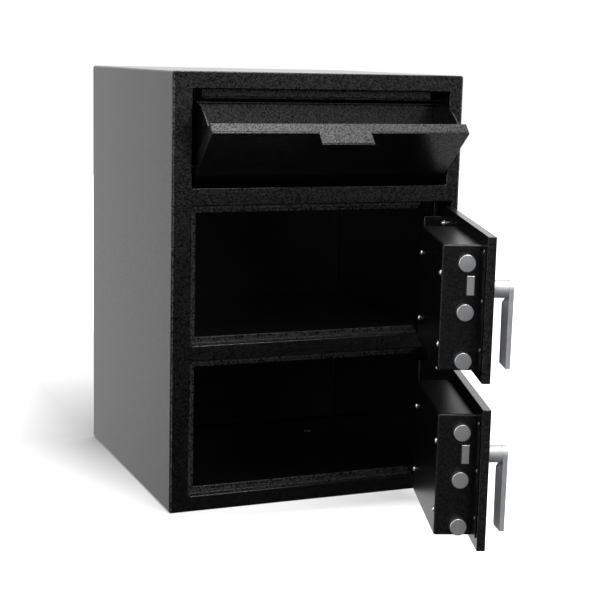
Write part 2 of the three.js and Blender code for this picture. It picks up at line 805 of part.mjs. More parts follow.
// Rear plate across the tray, from near the pivot out to the sectors' arc, with a folded lip
function makeHopperRearPlate() {
  const half = hopperHalf - sectorInset - hopperGauge - seam;
  const outerEnd = sectorRadius - 1.5;
  const plate = new THREE.Shape([
    new THREE.Vector2(rearPlateInner, 0),
    new THREE.Vector2(outerEnd, 0),
    new THREE.Vector2(outerEnd, rearPlateLip),
    new THREE.Vector2(outerEnd - hopperGauge, rearPlateLip),
    new THREE.Vector2(outerEnd - hopperGauge, hopperGauge),
    new THREE.Vector2(rearPlateInner, hopperGauge),
  ]);
  const geometry = new THREE.ExtrudeGeometry(plate, { depth: 2 * half, bevelEnabled: false });
  geometry.rotateX(Math.PI / 2);
  geometry.rotateZ(Math.PI / 2);
  geometry.translate(-half, 0, 0);
  geometry.rotateX(Math.PI / 2 - THREE.MathUtils.degToRad(sectorSpan));
  return solid(geometry);
}

function makeHopperPivot(side) {
  const inner = hopperHalf - sectorInset - hopperGauge - 3;
  const outer = hopperHalf + hopperSideGap + chamberSideGap + hopperGauge + 1;
  return rod('x', hopperPivotRadius, Math.min(side * inner, side * outer),
    Math.max(side * inner, side * outer), 0, 0, 20);
}

// Fixed side plates of the hopper's chamber, with pivot holes and welded stop pins
function makeHopperSide(side) {
  const inner = hopperMiddle + side * (hopperHalf + hopperSideGap + chamberSideGap);
  const outer = inner + side * hopperGauge;
  const [x0, x1] = [Math.min(inner, outer), Math.max(inner, outer)];
  const floorTop = upperTop + hopperFloorRise + shelfThickness;
  let plate = box(x0, x1, behindFront, front + hopperSideDepth,
    floorTop + seam, bodyHeight - wallThickness - seam);
  plate = plate.subtract(rod('x', hopperPivotRadius + runningClearance, x0 - 1, x1 + 1,
    hopperPivotY, hopperPivotZ, 20));
  const radius = (sectorRadius + sectorEarRadius) / 2 + 0.5;
  const earEdge = Math.PI / 2 - THREE.MathUtils.degToRad(sectorSpan - hopperAngle - sectorEarSpan);
  const angle = earEdge + (stopPinRadius + seam) / radius;
  const reach = hopperMiddle + side * (hopperHalf - sectorInset - hopperGauge);
  const pinStart = Math.min(reach, inner + side);
  const pinEnd = Math.max(reach, inner + side);
  return plate.add(rod('x', stopPinRadius, pinStart, pinEnd,
    hopperPivotY + radius * Math.cos(angle), hopperPivotZ + radius * Math.sin(angle), 16));
}

// Fixed baffle behind the top of the hopper's opening, hung from the body's top, its lower edge
// bent forward
function makeBaffle() {
  const half = hopperHalf + hopperSideGap - baffleInset;
  const y0 = front + baffleBack;
  const low = hopperTop - baffleDrop;
  const high = bodyHeight - wallThickness - seam;
  const square = hopperGauge * Math.SQRT1_2;
  const mitre = hopperGauge * Math.tan(Math.PI / 8);
  const outline = new THREE.Shape([
    new THREE.Vector2(y0, low + baffleLip),
    new THREE.Vector2(y0 - baffleLip, low),
    new THREE.Vector2(y0 - baffleLip + square, low - square),
    new THREE.Vector2(y0 + hopperGauge, low + baffleLip - mitre),
    new THREE.Vector2(y0 + hopperGauge, high - hopperGauge),
    new THREE.Vector2(y0 + baffleFlange, high - hopperGauge),
    new THREE.Vector2(y0 + baffleFlange, high),
    new THREE.Vector2(y0, high),
  ]);
  return profileAlongX(outline, hopperMiddle - half, hopperMiddle + half);
}

// Floor of the hopper's chamber, with the slot that drops deposits into the upper compartment
function makeHopperFloor() {
  const low = upperTop + hopperFloorRise;
  const plate = box(-innerX + seam, innerX - seam, behindFront, back - backThickness - seam,
    low, low + shelfThickness);
  return plate.subtract(box(-innerX + dropSlotInset, innerX - dropSlotInset,
    front + dropSlotFront, front + dropSlotFront + dropSlotDepth, low - 1, low + shelfThickness + 1));
}

// The safe
const safe = new THREE.Group();
safe.add(
  piece('body_wrap', makeBodyWrap(), blackPaint),
  piece('back_panel', makeBackPanel(), blackPaint),
  piece('front_frame', makeFrontFrame(), blackPaint),
  piece('compartment_shelf', makeShelf(), innerPaint),
  piece('hopper_floor', makeHopperFloor(), innerPaint),
  piece('hopper_side_left', makeHopperSide(-1), innerPaint),
  piece('hopper_side_right', makeHopperSide(1), innerPaint),
  piece('hopper_baffle', makeBaffle(), blackPaint),
);

const hopper = new THREE.Group();
hopper.position.set(hopperMiddle, hopperPivotY, hopperPivotZ);
hopper.rotation.x = THREE.MathUtils.degToRad(hopperAngle);
hopper.add(
  piece('hopper_skin', makeHopperSkin(), blackPaint),
  piece('hopper_pan', makeHopperPan(), blackPaint),
  piece('hopper_sector_left', makeHopperSector(-1), blackPaint),
  piece('hopper_sector_right', makeHopperSector(1), blackPaint),
  piece('hopper_rear_plate', makeHopperRearPlate(), blackPaint),
  piece('hopper_pivot_left', makeHopperPivot(-1), blackPaint),
  piece('hopper_pivot_right', makeHopperPivot(1), blackPaint),
);
safe.add(hopper);

for (const [level, bottom, doorAngle] of [
  ['lower', lowerBottom, lowerDoorAngle],
  ['upper', upperBottom, upperDoorAngle],
]) {
  const middle = bottom + doorOpeningHeight / 2;
  const lugLow = bottom - lugRise - lugThickness;
  const lugHigh = bottom + doorOpeningHeight + lugRise;
  safe.add(
    piece(`${level}_door_seat`, makeDoorSeat(bottom, bottom + doorOpeningHeight), blackPaint),
    piece(`${level}_hinge_lug_bottom`, makeHingeLug(lugLow), blackPaint),
    piece(`${level}_hinge_lug_top`, makeHingeLug(lugHigh), blackPaint),
    piece(`${level}_hinge_pin_bottom`, makeHingePin(middle, -1), blackPaint),
    piece(`${level}_hinge_pin_top`, makeHingePin(middle, 1), blackPaint),
  );

  const door = new THREE.Group();
  door.position.set(pinX, pinY, middle);
  door.rotation.z = THREE.MathUtils.degToRad(doorAngle);
  door.add(
    piece(`${level}_door_plate`, makeDoorPlate(), blackPaint),
    piece(`${level}_boltwork_cover`, makeBoltworkCover(), blackPaint),
    piece(`${level}_hinge_block_top`, makeHingeBlock(1), blackPaint),
    piece(`${level}_hinge_block_bottom`, makeHingeBlock(-1), blackPaint),
    piece(`${level}_lock_case`, makeLockCase(), zincSteel),
    piece(`${level}_keypad_housing`, makeKeypadHousing(), darkPlastic),
    piece(`${level}_keypad_face`, makeKeypadFace(), greyRubber),
    piece(`${level}_bolt_carriage`, makeCarriage(), zincSteel),
    piece(`${level}_flat_bolt`, makeFlatBolt(), satinSteel),
    piece(`${level}_handle_rosette`, makeRosette(), satinSteel),
    piece(`${level}_handle_lever`, makeHandleLever(), brightSteel),
    piece(`${level}_spindle_crank`, makeSpindleCrank(), zincSteel),
  );
  boltRises().forEach((rise, index) => {
    door.add(piece(`${level}_bolt_${['top', 'middle', 'bottom'][index]}`, makeBolt(rise), satinSteel));
  });
  safe.add(door);
}

export default safe;
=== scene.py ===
import json
import math

import bmesh
import bpy
from mathutils import Matrix, Vector


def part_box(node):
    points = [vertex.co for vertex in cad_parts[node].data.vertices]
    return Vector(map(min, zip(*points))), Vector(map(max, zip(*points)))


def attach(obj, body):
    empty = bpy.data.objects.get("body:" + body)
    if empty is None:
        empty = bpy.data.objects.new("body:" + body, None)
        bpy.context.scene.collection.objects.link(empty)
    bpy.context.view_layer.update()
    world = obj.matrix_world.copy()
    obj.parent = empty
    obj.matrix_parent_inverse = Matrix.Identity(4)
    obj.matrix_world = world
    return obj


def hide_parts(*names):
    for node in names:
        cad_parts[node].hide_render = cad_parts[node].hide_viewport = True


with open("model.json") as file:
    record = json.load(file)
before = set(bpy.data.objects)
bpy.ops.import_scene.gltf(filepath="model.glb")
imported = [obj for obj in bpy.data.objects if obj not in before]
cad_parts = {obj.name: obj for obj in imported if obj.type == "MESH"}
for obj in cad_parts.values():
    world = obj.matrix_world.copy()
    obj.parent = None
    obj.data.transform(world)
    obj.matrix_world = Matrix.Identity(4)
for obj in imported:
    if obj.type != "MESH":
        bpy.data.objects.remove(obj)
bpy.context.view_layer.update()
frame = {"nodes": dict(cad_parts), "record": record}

scene = bpy.context.scene
nodes = frame["nodes"]
LEVELS = ("lower", "upper")

# Real sizes in metres, from the solids and from the photograph
SCREW_HEAD = 0.0042
COVER_DEPTH = 0.057
COVER_SCREW_ALONG = (0.188, 0.396)
COVER_SCREW_RISES = (0.047, -0.058)
FLANGE_FACE = 0.0023
FREE_FLANGE, FREE_FLANGE_RISES = 0.435, (0.083, 0.012, -0.059)
HINGE_FLANGE, HINGE_FLANGE_RISES = 0.173, (0.060, -0.067)
HINGE_BOLT_ALONG, HINGE_BOLT_RISES = 0.040, (0.078, -0.078)
SEAM_NEAR, SEAM_FAR = 0.0020, 0.0034
PIN_RADIUS = 0.00714
THREAD_PITCH = 0.00175
DOOR_ANGLE = {"lower": math.radians(71.0), "upper": math.radians(70.5)}
DOOR_PIN = Vector((0.224, -0.2248, 0.0))
DOOR_MIDDLE = {"lower": 0.138, "upper": 0.388}
DOOR_THICKNESS = 0.0127
PIN_INSET = 0.008
PIN_BEHIND = 0.010
HOPPER_PIVOT = Vector((0.0045, -0.2205, 0.560))
HOPPER_ANGLE = math.radians(48.5)

# Brightness of the surroundings that the safe reflects. Behind it: the backdrop on the left and
# right, and what lies far below it on the left and right
BACKDROP_LEFT, BACKDROP_RIGHT = 0.78, 1.25
UNDER_LEFT, UNDER_RIGHT = 0.1, 0.7
# In front of it: the floor on the left and right, the room near the floor and higher up, and the
# upper room on the right
FLOOR_LEFT, FLOOR_RIGHT = 0.28, 0.02
ROOM_LOW, ROOM_HIGH = 0.85, 0.95
ROOM_RIGHT = 0.2
# Where each of them changes, as a range of the direction's X across, Y in depth or Z in height.
# The backdrop reaches further forward on the right by a share of X
BACKDROP_FADE, BACKDROP_REACH = (-0.35, 0.25), 0.4
BACKDROP_ACROSS, UNDER_ACROSS = (-0.25, 0.25), (0.38, 0.48)
UNDER_HEIGHT = (-0.7, -0.22)
FLOOR_ACROSS, ROOM_ACROSS = (-0.3, 0.25), (0.34, 0.42)
HORIZON, ROOM_HEIGHT, UPPER_ROOM = (-0.1, 0.02), (0.0, 0.35), (0.12, 0.3)
# The floor's colour, and its own glow for the camera, which paints the shape of the safe's shadow:
# none beside the rear left corner of the safe, more away from its left wall, towards the front and behind
# it, and white in the open
FLOOR_PALE = 0.61
OPEN_GLOW = 1.0
AWAY_GLOW, FRONT_GLOW, REAR_GLOW = 0.58, 0.4, 0.36
# Where the glow changes, in metres across (X), in depth (Y) and from the middle of the safe
OPEN_FRONT, OPEN_RIGHT, OPEN_FAR = (-0.36, -0.25), (0.1, 0.24), (0.9, 1.7)
AWAY_ZONE, FRONT_ZONE, REAR_ZONE = (-0.48, -0.262), (-0.14, 0.26), (0.26, 0.75)
# The floor under the safe doesn't glow: the rim of its footprint across and in depth
FOOTPRINT_ACROSS, FOOTPRINT_DEEP = (0.250, 0.254), (0.243, 0.247)


# Camera, fitted to the photograph
def make_camera():
    """The photograph's camera: place, heading, tilt, roll and focal length in pixels."""
    place = Vector((-0.91115, -2.36415, 0.73911))
    heading, tilt, roll = 0.39329, -0.17122, 0.02388
    focal_pixels, image_pixels, sensor = 1416.93, 600.0, 36.0
    flat = math.cos(tilt)
    forward = Vector((math.sin(heading) * flat, math.cos(heading) * flat, math.sin(tilt)))
    level = Vector((math.cos(heading), -math.sin(heading), 0.0))
    upright = level.cross(forward)
    right = math.cos(roll) * level + math.sin(roll) * upright
    up = -math.sin(roll) * level + math.cos(roll) * upright
    data = bpy.data.cameras.new("photo_camera")
    data.sensor_width = sensor
    data.sensor_fit = "HORIZONTAL"
    data.lens = sensor * focal_pixels / image_pixels
    camera = bpy.data.objects.new("photo_camera", data)
    axes = Matrix((right, up, -forward)).transposed()
    camera.matrix_world = Matrix.Translation(place) @ axes.to_4x4()
    scene.collection.objects.link(camera)
    scene.camera = camera


# Node helpers
def new_material(name):
    """A material with its node tree, which holds only the output."""
    material = bpy.data.materials.new(name)
    material.use_nodes = True
    tree = material.node_tree
    tree.nodes.clear()
    output = tree.nodes.new("ShaderNodeOutputMaterial")
    return material, tree, output


def add_node(tree, kind, **values):
    """A node with its inputs set by name, and its properties where no input has that name."""
    node = tree.nodes.new(kind)
    for key, value in values.items():
        if key in node.inputs:
            node.inputs[key].default_value = value
        else:
            setattr(node, key, value)
    return node


def add_noise(tree, coordinates, scale, detail=2.0, roughness=0.5):
    """Noise over the object's own coordinates, in metres."""
    noise = add_node(tree, "ShaderNodeTexNoise", Scale=scale, Detail=detail, Roughness=roughness)
    tree.links.new(coordinates.outputs["Object"], noise.inputs["Vector"])
    return noise


def add_range(tree, source, low, high, out_low, out_high):
    """Maps a value from low..high to out_low..out_high, clamped."""
    ramp = tree.nodes.new("ShaderNodeMapRange")
    tree.links.new(source, ramp.inputs["Value"])
    limits = {"From Min": low, "From Max": high, "To Min": out_low, "To Max": out_high}
    for key, value in limits.items():
        ramp.inputs[key].default_value = value
    return ramp.outputs["Result"]


def add_mix(tree, factor, first, second):
    """A colour between two colours or sockets."""
    mix = tree.nodes.new("ShaderNodeMix")
    mix.data_type = "RGBA"
    tree.links.new(factor, mix.inputs["Factor"])
    for socket, value in ((mix.inputs[6], first), (mix.inputs[7], second)):
        if isinstance(value, tuple):
            socket.default_value = value
        else:
            tree.links.new(value, socket)
    return mix.outputs[2]


def powder_coat(name, lift, roughness, spread, grain, height, gloss=0.5):
    """Black powder coat: grains of a given size and height, the higher ones glossier and paler; a high
    lift pales the whole coat, as painted light.
    """
    material, tree, output = new_material(name)
    coordinates = tree.nodes.new("ShaderNodeTexCoord")
    fine = add_noise(tree, coordinates, 1.0 / grain, 1.5, 0.5)
    peaks = add_range(tree, fine.outputs["Fac"], 0.35, 0.68, 0.0, 1.0)
    tint = add_mix(tree, peaks, (*PAINT, 1.0), (lift, lift, 1.05 * lift, 1.0))
    shader = tree.nodes.new("ShaderNodeBsdfPrincipled")
    tree.links.new(tint, shader.inputs["Base Color"])
    shine = add_range(tree, fine.outputs["Fac"], 0.3, 0.7, gloss - spread, gloss + spread)
    tree.links.new(shine, shader.inputs["Specular IOR Level"])
    shader.inputs["Roughness"].default_value = roughness
    shader.inputs["IOR"].default_value = 1.48
    relief = add_node(tree, "ShaderNodeBump", Strength=1.0, Distance=height)
    tree.links.new(fine.outputs["Fac"], relief.inputs["Height"])
    tree.links.new(relief.outputs["Normal"], shader.inputs["Normal"])
    tree.links.new(shader.outputs["BSDF"], output.inputs["Surface"])
    return material


def metal(name, color, roughness, streaks, bump, bare=1.0):
    """Plated or brushed steel with fine streaks; less bare where a clear lacquer scatters light."""
    material, tree, output = new_material(name)
    coordinates = tree.nodes.new("ShaderNodeTexCoord")
    brushed = add_noise(tree, coordinates, streaks, 4.0, 0.6)
    patches = add_noise(tree, coordinates, 45.0, 3.0, 0.55)
    shade = add_range(tree, patches.outputs["Fac"], 0.3, 0.7, 0.0, 1.0)
    darker = tuple(0.82 * part for part in color)
    tint = add_mix(tree, shade, (*darker, 1.0), (*color, 1.0))
    shader = add_node(tree, "ShaderNodeBsdfPrincipled", Metallic=bare)
    tree.links.new(tint, shader.inputs["Base Color"])
    rough = add_range(tree, brushed.outputs["Fac"], 0.25, 0.75, roughness - 0.06, roughness + 0.08)
    tree.links.new(rough, shader.inputs["Roughness"])
    relief = add_node(tree, "ShaderNodeBump", Strength=bump, Distance=0.0001)
    tree.links.new(brushed.outputs["Fac"], relief.inputs["Height"])
    tree.links.new(relief.outputs["Normal"], shader.inputs["Normal"])
    tree.links.new(shader.outputs["BSDF"], output.inputs["Surface"])
    return material


def moulded(name, color, roughness, grain, bump):
    """Moulded plastic or rubber with a spark-eroded grain."""
    material, tree, output = new_material(name)
    coordinates = tree.nodes.new("ShaderNodeTexCoord")
    fine = add_noise(tree, coordinates, grain, 2.0, 0.5)
    broad = add_noise(tree, coordinates, 30.0, 2.0, 0.5)
    shade = add_range(tree, broad.outputs["Fac"], 0.3, 0.7, 0.0, 1.0)
    lighter = tuple(min(1.0, 1.25 * part) for part in color)
    tint = add_mix(tree, shade, (*color, 1.0), (*lighter, 1.0))
    shader = tree.nodes.new("ShaderNodeBsdfPrincipled")
    tree.links.new(tint, shader.inputs["Base Color"])
    rough = add_range(tree, fine.outputs["Fac"], 0.3, 0.7, roughness - 0.05, roughness + 0.05)
    tree.links.new(rough, shader.inputs["Roughness"])
    relief = add_node(tree, "ShaderNodeBump", Strength=bump, Distance=0.0002)
    tree.links.new(fine.outputs["Fac"], relief.inputs["Height"])
    tree.links.new(relief.outputs["Normal"], shader.inputs["Normal"])
    tree.links.new(shader.outputs["BSDF"], output.inputs["Surface"])
    return material


PAINT = (0.0005, 0.0005, 0.00055)
MATERIALS = {
    "black_paint": powder_coat("black_powder_coat", 0.0025, 0.25, 0.36, 0.0028, 0.0002),
    "inner_paint": powder_coat("inner_powder_coat", 0.006, 0.4, 0.2, 0.0029, 0.0002),
    "bright_steel": metal("satin_chrome", (0.6, 0.61, 0.63), 0.5, 500.0, 0.04, bare=0.8),
    "satin_steel": metal("satin_steel", (0.6, 0.61, 0.625), 0.32, 700.0, 0.06),
    "zinc_steel": metal("zinc_plate", (0.42, 0.43, 0.44), 0.42, 400.0, 0.25),
    "dark_plastic": moulded("keypad_plastic", (0.012, 0.012, 0.013), 0.5, 900.0, 0.2),
    "grey_rubber": moulded("key_mat", (0.045, 0.047, 0.05), 0.62, 1200.0, 0.2),
}
# The door seat's coat is paler than the black coat: painted light on the seat strips.
SEAT_PAINTED_LIGHT = powder_coat("seat_coat_painted_light", 0.035, 0.25, 0.1, 0.0028, 0.0001, 0.28)
# The boltwork cover's coat has darker grains than the black coat, as painted shade, and less gloss.
COVER_PAINTED_SHADE = powder_coat("cover_coat_painted_shade", 0.001, 0.3, 0.15, 0.0028, 0.0001, 0.32)
# The hopper baffle's coat is much paler than the black coat: painted light, so that its lit lower part
# shows.
BAFFLE_PAINTED_LIGHT = powder_coat("baffle_coat_painted_light", 0.06, 0.3, 0.12, 0.0028, 0.0001, 0.2)
# A flat black strip that stands for the shade in the tab hem's seam: painted shadow.
TAB_PAINTED_SHADOW = powder_coat("tab_seam_painted_shadow", 0.001, 0.8, 0.03, 0.0028, 0.0001, 0.05)
# A pale coat for the frame's seams: painted highlight along the folded edges.
SEAM_PAINTED_HIGHLIGHT = powder_coat("frame_seam_painted_highlight", 0.09, 0.3, 0.1, 0.0028, 0.0001)
# The shell's coat is paler than the frame's black coat, as painted light, and a little glossier.
SHELL_PAINTED_LIGHT = powder_coat("shell_coat_painted_light", 0.008, 0.22, 0.1, 0.0029, 0.0001)
SCREW_STEEL = metal("screw_zinc", (0.78, 0.79, 0.8), 0.25, 900.0, 0.1)
SCREW_BLACK = metal("screw_black_zinc", (0.12, 0.12, 0.125), 0.35, 900.0, 0.1)
PRINT_WHITE = moulded("digit_print", (0.6, 0.6, 0.6), 0.5, 800.0, 0.05)


# Finishes on the CAD nodes
def soften(node, width, angle):
    """Joins the facets into clean faces and rounds the edges a little, as folded and cut sheet has."""
    weld = node.modifiers.new("weld", "WELD")
    weld.merge_threshold = 0.00001
    flat = node.modifiers.new("flat", "DECIMATE")
    flat.decimate_type = "DISSOLVE"
    flat.angle_limit = math.radians(0.6)
    if width > 0:
        edge = node.modifiers.new("edge", "BEVEL")
        edge.width = width
        edge.segments = 3
        edge.limit_method = "ANGLE"
        edge.angle_limit = math.radians(angle)
        edge.use_clamp_overlap = True
    for polygon in node.data.polygons:
        polygon.use_smooth = True
    smooth = node.modifiers.new("normals", "WEIGHTED_NORMAL")
    smooth.keep_sharp = True


# Copies of the black coat, paler or darker than it, that paint light or shade on these parts.
PAINTED_LIGHT_COATS = {
    "body_wrap": SHELL_PAINTED_LIGHT, "back_panel": SHELL_PAINTED_LIGHT, "door_seat": SEAT_PAINTED_LIGHT,
    "boltwork_cover": COVER_PAINTED_SHADE, "hopper_baffle": BAFFLE_PAINTED_LIGHT,
}
EDGE_WIDTH = {
    "boltwork_cover": 0.0004, "door_plate": 0.0005, "hopper_skin": 0.0003, "hopper_pan": 0.0004,
    "bolt_carriage": 0.0004, "hinge_block_top": 0.0006, "hinge_block_bottom": 0.0006,
    "handle_lever": 0.0004, "front_frame": 0.0,
}
EDGE_ANGLE = {"handle_lever": 35, "flat_bolt": 40}


def finish_nodes():
    """Every CAD node gets its slot's material, or a paler or darker copy of the black coat with painted
    light or shade, and its edge.
    """
    slot_of = {part["node"]: part["material_slot"] for part in frame["record"]["subparts"]}
    for name, node in nodes.items():
        node.data.materials.clear()
        short = name.split("_", 1)[1] if name.split("_", 1)[0] in LEVELS else name
        node.data.materials.append(PAINTED_LIGHT_COATS.get(short, MATERIALS[slot_of[name]]))
        soften(node, EDGE_WIDTH.get(short, 0.0003), EDGE_ANGLE.get(short, 50))


# Pieces made here
def add_piece(name, mesh, material, body, smooth=True):
    """A mesh as a piece that rides on a body."""
    mesh.materials.append(material)
    for polygon in mesh.polygons:
        polygon.use_smooth = smooth
    piece = bpy.data.objects.new(name, mesh)
    scene.collection.objects.link(piece)
    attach(piece, body)
    return piece


def frame_from(axis):
    """A rotation that takes +Z to an axis."""
    return Vector((0, 0, 1)).rotation_difference(axis).to_matrix().to_4x4()


def lathe(work, profile, place, axis, segments=24, recess=None):
    """Turns (radius, height) points about an axis into a bmesh; recess shapes the last rings."""
    turn = Matrix.Translation(place) @ frame_from(axis)
    rings = []
    for index, (radius, height) in enumerate(profile):
        if radius == 0:
            rings.append([work.verts.new(turn @ Vector((0, 0, height)))])
            continue
        ring = []
        for step in range(segments):
            angle = 2 * math.pi * step / segments
            reach = radius * (recess(angle) if recess and index >= len(profile) - 3 else 1.0)
            point = Vector((reach * math.cos(angle), reach * math.sin(angle), height))
            ring.append(work.verts.new(turn @ point))
        rings.append(ring)
    for low, high in zip(rings, rings[1:]):
        for step in range(segments):
            after = (step + 1) % segments
            if len(low) == 1:
                work.faces.new((low[0], high[after], high[step]))
            elif len(high) == 1:
                work.faces.new((low[step], low[after], high[0]))
            else:
                work.faces.new((low[step], low[after], high[after], high[step]))


def mesh_from(work, name):
    """The finished bmesh as a mesh, its faces pointing out."""
    bmesh.ops.recalc_face_normals(work, faces=work.faces)
    mesh = bpy.data.meshes.new(name)
    work.to_mesh(mesh)
    work.free()
    return mesh


def cross_recess(angle):
    """A driver's cross: four arms, as a factor on the recess radius."""
    return 0.42 + 0.58 * abs(math.cos(2 * angle)) ** 3


def pan_screw(work, place, axis, radius, sink=0.0003):
    """A pan-head screw seated on a face, with a cross recess."""
    height = 0.55 * radius
    profile = [
        (0, -sink), (radius, -sink), (radius, 0.22 * height), (0.93 * radius, 0.55 * height),
        (0.78 * radius, 0.82 * height), (0.55 * radius, 0.97 * height), (0.48 * radius, height),
        (0.40 * radius, 0.45 * height), (0, 0.4 * height),
    ]
    lathe(work, profile, place, axis, 32, cross_recess)


# Door directions: along from the hinge edge to the free edge, and inward from the inner face
ALONG = {level: Vector((-math.cos(angle), -math.sin(angle), 0)) for level, angle in DOOR_ANGLE.items()}
INWARD = {level: Vector((-math.sin(angle), math.cos(angle), 0)) for level, angle in DOOR_ANGLE.items()}


def on_door(level, along, depth, rise):
    """A point on an open door, in the shared frame."""
    corner = DOOR_PIN - ALONG[level] * PIN_INSET - INWARD[level] * PIN_BEHIND
    height = Vector((0, 0, DOOR_MIDDLE[level] + rise))
    return corner + ALONG[level] * along + INWARD[level] * depth + height


def add_screws(level, name, places, depth, radius, finish):
    """A set of screws on the door, at places (along, rise) and a depth from its inner face."""
    work = bmesh.new()
    for along, rise in places:
        pan_screw(work, on_door(level, along, depth, rise), INWARD[level], radius)
    mesh = mesh_from(work, f"{level}_{name}")
    add_piece(mesh.name, mesh, finish, f"{level}_door")


def add_door_screws(level):
    """Bright screws on the cover's broad face, and dull ones along its flanges on the door."""
    on_cover = [(along, rise) for rise in COVER_SCREW_RISES for along in COVER_SCREW_ALONG]
    add_screws(level, "cover_screws", on_cover, COVER_DEPTH, SCREW_HEAD, SCREW_STEEL)
    on_flanges = [(FREE_FLANGE, rise) for rise in FREE_FLANGE_RISES]
    on_flanges += [(HINGE_FLANGE, rise) for rise in HINGE_FLANGE_RISES]
    add_screws(level, "flange_screws", on_flanges, FLANGE_FACE, 0.8 * SCREW_HEAD, SCREW_BLACK)


def add_hinge_bolts(level):
    """Socket-head bolts that hold the hinge blocks, with their washers."""
    washer = [(0, -0.0002), (0.0058, -0.0002), (0.0058, 0.0012)]
    head = [(0.0038, 0.0014), (0.0038, 0.0042), (0.0034, 0.0046)]
    socket = [(0.0022, 0.0046), (0.0021, 0.0026), (0, 0.0025)]
    work = bmesh.new()
    for rise in HINGE_BOLT_RISES:
        place = on_door(level, HINGE_BOLT_ALONG, 0.0, rise)
        lathe(work, washer + head + socket, place, INWARD[level])
    mesh = mesh_from(work, f"{level}_hinge_bolts")
    add_piece(mesh.name, mesh, SCREW_STEEL, f"{level}_door")


def add_threaded_pin(level, end):
    """The hinge pin with its real thread, in place of the plain one."""
    name = f"{level}_hinge_pin_{end}"
    low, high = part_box(name)
    length = high.z - low.z
    crest = PIN_RADIUS
    root = PIN_RADIUS - 0.6 * THREAD_PITCH
    profile = [(0, 0), (root, 0)]
    turns = int((length - 0.003) / THREAD_PITCH)
    for turn in range(turns):
        base = 0.001 + turn * THREAD_PITCH
        profile += [(root, base), (crest, base + 0.45 * THREAD_PITCH), (crest, base + 0.55 * THREAD_PITCH)]
    profile += [(root, length - 0.001), (root - 0.001, length), (0, length)]
    foot = Vector(((low.x + high.x) / 2, (low.y + high.y) / 2, low.z))
    work = bmesh.new()
    lathe(work, profile, foot, Vector((0, 0, 1)))
    mesh = mesh_from(work, name)
    piece = add_piece(f"{name}_thread", mesh, MATERIALS["black_paint"], "safe", False)
    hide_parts(name)


def add_back_weld():
    """A fillet weld round the inside of the back panel, on the walls and the panel."""
    panel_low, panel_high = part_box("back_panel")
    shell_low, shell_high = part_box("body_wrap")
    wall, leg, sink = 0.003, 0.0035, 0.0002
    face = panel_low.y + sink
    rings = []
    for inset, y in ((wall - sink, face), (wall - sink, face - leg), (wall + leg, face)):
        low_x, high_x = shell_low.x + inset, shell_high.x - inset
        low_z, high_z = shell_low.z + inset, shell_high.z - inset
        rings.append([Vector((low_x, y, low_z)), Vector((high_x, y, low_z)),
                      Vector((high_x, y, high_z)), Vector((low_x, y, high_z))])
    work = bmesh.new()
    made = [[work.verts.new(point) for point in ring] for ring in rings]
    for first, second in zip(made, made[1:] + made[:1]):
        for corner in range(4):
            after = (corner + 1) % 4
            work.faces.new((first[corner], first[after], second[after], second[corner]))
    mesh = mesh_from(work, "back_weld")
    add_piece("back_weld", mesh, MATERIALS["inner_paint"], "safe", False)


def add_box(work, low, high, place=Matrix.Identity(4)):
    """A box between two corners, moved by a matrix."""
    made = bmesh.ops.create_cube(work, size=1.0)["verts"]
    middle = (Vector(low) + Vector(high)) / 2
    bmesh.ops.scale(work, vec=Vector(high) - Vector(low), verts=made)
    bmesh.ops.translate(work, vec=middle, verts=made)
    bmesh.ops.transform(work, matrix=place, verts=made)


def add_tab_hem_shadow():
    """A thin dark strip along the tab's outer edge, painted shadow in the hem's seam, placed as on the
    closed hopper.
    """
    tilt = Matrix.Translation(HOPPER_PIVOT) @ Matrix.Rotation(HOPPER_ANGLE, 4, "X")
    pan = nodes["hopper_pan"]
    points = [tilt.inverted() @ pan.matrix_world @ vertex.co for vertex in pan.data.vertices]
    end = min(point.y for point in points)
    top = max(point.z for point in points)
    across = [point.x for point in points if point.y < end + 0.001]
    work = bmesh.new()
    low = (min(across) + 0.0015, end + SEAM_NEAR, top - 0.0002)
    high = (max(across) - 0.0015, end + SEAM_FAR, top + 0.00012)
    add_box(work, low, high, tilt)
    mesh = mesh_from(work, "hopper_tab_painted_shadow")
    add_piece("hopper_tab_painted_shadow", mesh, TAB_PAINTED_SHADOW, "hopper", False)


def add_frame_seam_highlights():
    """The fine raised seam beside each upright edge of the front frame, in a pale coat that is a painted
    highlight of the fold.
    """
    low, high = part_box("front_frame")
    work = bmesh.new()
    left = (low.x + SEAM_NEAR, low.x + SEAM_FAR)
    right = (high.x - SEAM_FAR, high.x - SEAM_NEAR)
    for x0, x1 in (left, right):
        add_box(work, (x0, low.y - 0.0002, low.z + 0.004), (x1, low.y + 0.0004, high.z - 0.004))
    mesh = mesh_from(work, "frame_seam_highlights")
    add_piece("frame_seam_highlights", mesh, SEAM_PAINTED_HIGHLIGHT, "safe", False)


# Keypad
KEYPAD_ALONG = 0.205
KEYPAD_RISE = 0.020
KEYPAD_DEPTH = 0.021
MAT_RECESS, MAT_SEAMS = 0.001, 0.0006
KEY_PITCH = 0.0148
KEY_SIZE = 0.0108
KEY_HEIGHT = 0.0016


def key_places():
    """Four rows of three keys, as (across, up, label)."""
    labels = "123456789*0#"
    for index, label in enumerate(labels):
        row, column = divmod(index, 3)
        yield (column - 1) * KEY_PITCH, (1.5 - row) * 0.86 * KEY_PITCH, label


